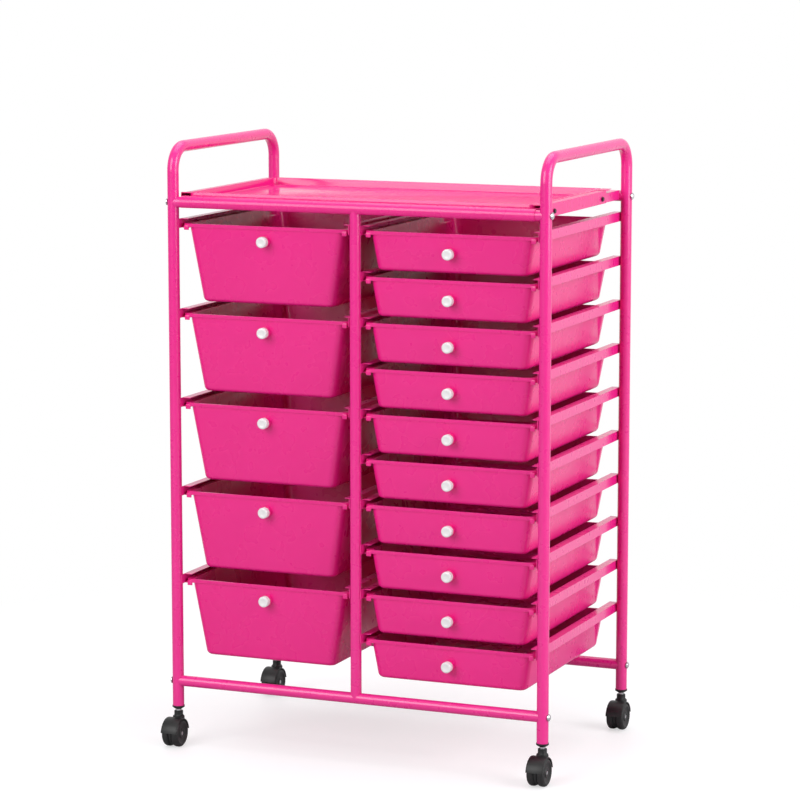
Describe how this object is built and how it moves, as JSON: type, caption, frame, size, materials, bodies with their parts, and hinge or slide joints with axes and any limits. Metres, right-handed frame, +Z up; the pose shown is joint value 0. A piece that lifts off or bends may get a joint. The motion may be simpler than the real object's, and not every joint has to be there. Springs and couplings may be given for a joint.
{
  "type": "spa trolley cart",
  "caption": "Rolling storage trolley with bent-tube side frames, two columns of slide-out drawers, a shallow top tray and swivel casters.",
  "frame": {"origin": "on the floor at the centre of the footprint", "axes": "+Z up, +X to the right seen from the front, front faces -Y"},
  "size_m": [0.64, 0.418, 0.953],
  "materials": {
    "powder_coated_steel": "glossy powder coat",
    "pink_plastic": "glossy moulding",
    "white_plastic": "glossy",
    "black_nylon": "satin",
    "caster_wheel": "satin",
    "zinc_steel": "bright zinc plating",
    "dark_screw": "dark plating"
  },
  "bodies": {
    "frame": {"left_side_tube": "powder_coated_steel", "right_side_tube": "powder_coated_steel", "front_mid_post": "powder_coated_steel", "back_mid_post": "powder_coated_steel", "front_top_rail": "powder_coated_steel", "back_top_rail": "powder_coated_steel", "front_bottom_rail": "powder_coated_steel", "back_bottom_rail": "powder_coated_steel", "rail_inserts": "zinc_steel", "frame_screws": "zinc_steel", "left_runners": "powder_coated_steel", "mid_left_runners": "powder_coated_steel", "mid_right_runners": "powder_coated_steel", "right_runners": "powder_coated_steel", "tray_side_bars": "powder_coated_steel", "top_tray": "pink_plastic", "tray_screws": "dark_screw", "stem_sockets": "black_nylon"},
    "large_drawer_1_body": {"large_drawer_1": "pink_plastic", "large_knob_1": "white_plastic"},
    "large_drawer_2_body": {"large_drawer_2": "pink_plastic", "large_knob_2": "white_plastic"},
    "large_drawer_3_body": {"large_drawer_3": "pink_plastic", "large_knob_3": "white_plastic"},
    "large_drawer_4_body": {"large_drawer_4": "pink_plastic", "large_knob_4": "white_plastic"},
    "large_drawer_5_body": {"large_drawer_5": "pink_plastic", "large_knob_5": "white_plastic"},
    "small_drawer_1_body": {"small_drawer_1": "pink_plastic", "small_knob_1": "white_plastic"},
    "small_drawer_2_body": {"small_drawer_2": "pink_plastic", "small_knob_2": "white_plastic"},
    "small_drawer_3_body": {"small_drawer_3": "pink_plastic", "small_knob_3": "white_plastic"},
    "small_drawer_4_body": {"small_drawer_4": "pink_plastic", "small_knob_4": "white_plastic"},
    "small_drawer_5_body": {"small_drawer_5": "pink_plastic", "small_knob_5": "white_plastic"},
    "small_drawer_6_body": {"small_drawer_6": "pink_plastic", "small_knob_6": "white_plastic"},
    "small_drawer_7_body": {"small_drawer_7": "pink_plastic", "small_knob_7": "white_plastic"},
    "small_drawer_8_body": {"small_drawer_8": "pink_plastic", "small_knob_8": "white_plastic"},
    "small_drawer_9_body": {"small_drawer_9": "pink_plastic", "small_knob_9": "white_plastic"},
    "small_drawer_10_body": {"small_drawer_10": "pink_plastic", "small_knob_10": "white_plastic"},
    "caster_front_left_swivel": {"caster_front_left_housing": "black_nylon", "caster_front_left_pins": "zinc_steel"},
    "caster_front_left_wheel_pair": {"caster_front_left_wheels": "caster_wheel"},
    "caster_front_right_swivel": {"caster_front_right_housing": "black_nylon", "caster_front_right_pins": "zinc_steel"},
    "caster_front_right_wheel_pair": {"caster_front_right_wheels": "caster_wheel"},
    "caster_back_left_swivel": {"caster_back_left_housing": "black_nylon", "caster_back_left_pins": "zinc_steel"},
    "caster_back_left_wheel_pair": {"caster_back_left_wheels": "caster_wheel"},
    "caster_back_right_swivel": {"caster_back_right_housing": "black_nylon", "caster_back_right_pins": "zinc_steel"},
    "caster_back_right_wheel_pair": {"caster_back_right_wheels": "caster_wheel"}
  },
  "joints": [
    {"name": "large_drawer_1_slide", "type": "slide", "parent": "frame", "child": "large_drawer_1_body", "axis": [0, -1, 0], "range_m": [0, 0.25]},
    {"name": "large_drawer_2_slide", "type": "slide", "parent": "frame", "child": "large_drawer_2_body", "axis": [0, -1, 0], "range_m": [0, 0.25]},
    {"name": "large_drawer_3_slide", "type": "slide", "parent": "frame", "child": "large_drawer_3_body", "axis": [0, -1, 0], "range_m": [0, 0.25]},
    {"name": "large_drawer_4_slide", "type": "slide", "parent": "frame", "child": "large_drawer_4_body", "axis": [0, -1, 0], "range_m": [0, 0.25]},
    {"name": "large_drawer_5_slide", "type": "slide", "parent": "frame", "child": "large_drawer_5_body", "axis": [0, -1, 0], "range_m": [0, 0.25]},
    {"name": "small_drawer_1_slide", "type": "slide", "parent": "frame", "child": "small_drawer_1_body", "axis": [0, -1, 0], "range_m": [0, 0.25]},
    {"name": "small_drawer_2_slide", "type": "slide", "parent": "frame", "child": "small_drawer_2_body", "axis": [0, -1, 0], "range_m": [0, 0.25]},
    {"name": "small_drawer_3_slide", "type": "slide", "parent": "frame", "child": "small_drawer_3_body", "axis": [0, -1, 0], "range_m": [0, 0.25]},
    {"name": "small_drawer_4_slide", "type": "slide", "parent": "frame", "child": "small_drawer_4_body", "axis": [0, -1, 0], "range_m": [0, 0.25]},
    {"name": "small_drawer_5_slide", "type": "slide", "parent": "frame", "child": "small_drawer_5_body", "axis": [0, -1, 0], "range_m": [0, 0.25]},
    {"name": "small_drawer_6_slide", "type": "slide", "parent": "frame", "child": "small_drawer_6_body", "axis": [0, -1, 0], "range_m": [0, 0.25]},
    {"name": "small_drawer_7_slide", "type": "slide", "parent": "frame", "child": "small_drawer_7_body", "axis": [0, -1, 0], "range_m": [0, 0.25]},
    {"name": "small_drawer_8_slide", "type": "slide", "parent": "frame", "child": "small_drawer_8_body", "axis": [0, -1, 0], "range_m": [0, 0.25]},
    {"name": "small_drawer_9_slide", "type": "slide", "parent": "frame", "child": "small_drawer_9_body", "axis": [0, -1, 0], "range_m": [0, 0.25]},
    {"name": "small_drawer_10_slide", "type": "slide", "parent": "frame", "child": "small_drawer_10_body", "axis": [0, -1, 0], "range_m": [0, 0.25]},
    {"name": "caster_front_left_swivel_turn", "type": "hinge", "parent": "frame", "child": "caster_front_left_swivel", "pos_m": [-0.306, -0.171, 0.06], "axis": [0, 0, 1], "continuous": true},
    {"name": "caster_front_left_wheel_spin", "type": "hinge", "parent": "caster_front_left_swivel", "child": "caster_front_left_wheel_pair", "pos_m": [-0.306, -0.185, 0.0215], "axis": [1, 0, 0], "continuous": true},
    {"name": "caster_front_right_swivel_turn", "type": "hinge", "parent": "frame", "child": "caster_front_right_swivel", "pos_m": [0.306, -0.171, 0.06], "axis": [0, 0, 1], "continuous": true},
    {"name": "caster_front_right_wheel_spin", "type": "hinge", "parent": "caster_front_right_swivel", "child": "caster_front_right_wheel_pair", "pos_m": [0.306, -0.185, 0.0215], "axis": [1, 0, 0], "continuous": true},
    {"name": "caster_back_left_swivel_turn", "type": "hinge", "parent": "frame", "child": "caster_back_left_swivel", "pos_m": [-0.306, 0.199, 0.06], "axis": [0, 0, 1], "continuous": true},
    {"name": "caster_back_left_wheel_spin", "type": "hinge", "parent": "caster_back_left_swivel", "child": "caster_back_left_wheel_pair", "pos_m": [-0.306, 0.185, 0.0215], "axis": [1, 0, 0], "continuous": true},
    {"name": "caster_back_right_swivel_turn", "type": "hinge", "parent": "frame", "child": "caster_back_right_swivel", "pos_m": [0.306, 0.199, 0.06], "axis": [0, 0, 1], "continuous": true},
    {"name": "caster_back_right_wheel_spin", "type": "hinge", "parent": "caster_back_right_swivel", "child": "caster_back_right_wheel_pair", "pos_m": [0.306, 0.185, 0.0215], "axis": [1, 0, 0], "continuous": true}
  ]
}
